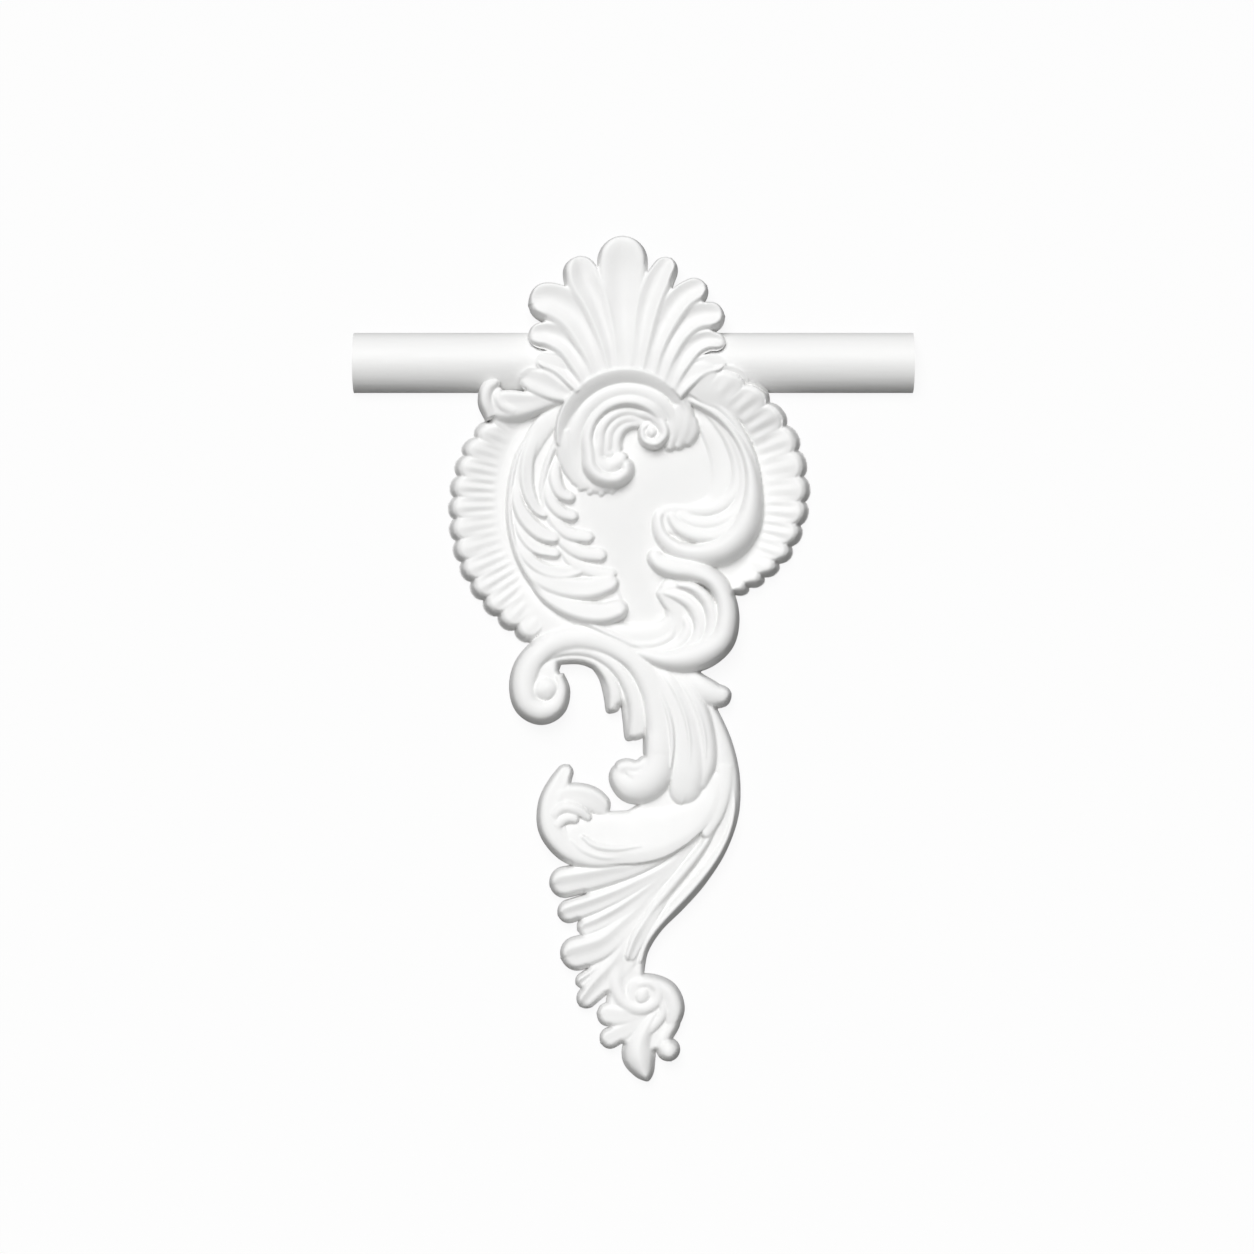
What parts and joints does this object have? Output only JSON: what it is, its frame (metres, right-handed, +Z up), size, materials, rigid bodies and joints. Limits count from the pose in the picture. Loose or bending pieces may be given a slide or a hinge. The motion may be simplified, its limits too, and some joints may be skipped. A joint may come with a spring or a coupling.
{
  "type": "scroll applique",
  "caption": "Asymmetric shell and scroll applique with a half-round moulding running behind it, flat at the back for fixing to a wall.",
  "frame": {"origin": "centre of the fan disc, on the flat back that lies on the wall", "axes": "+Z up along the ornament's height, +Y into the wall, +X to the right as seen from the front"},
  "size_m": [0.3725, 0.0275, 0.5625],
  "materials": {
    "white_cast": "matt white cast surface, primed, slightly uneven",
    "white_paint": "matt white paint on a straight moulding"
  },
  "bodies": {
    "root": {"scroll_applique": "white_cast", "half_round_moulding": "white_paint"}
  },
  "joints": []
}
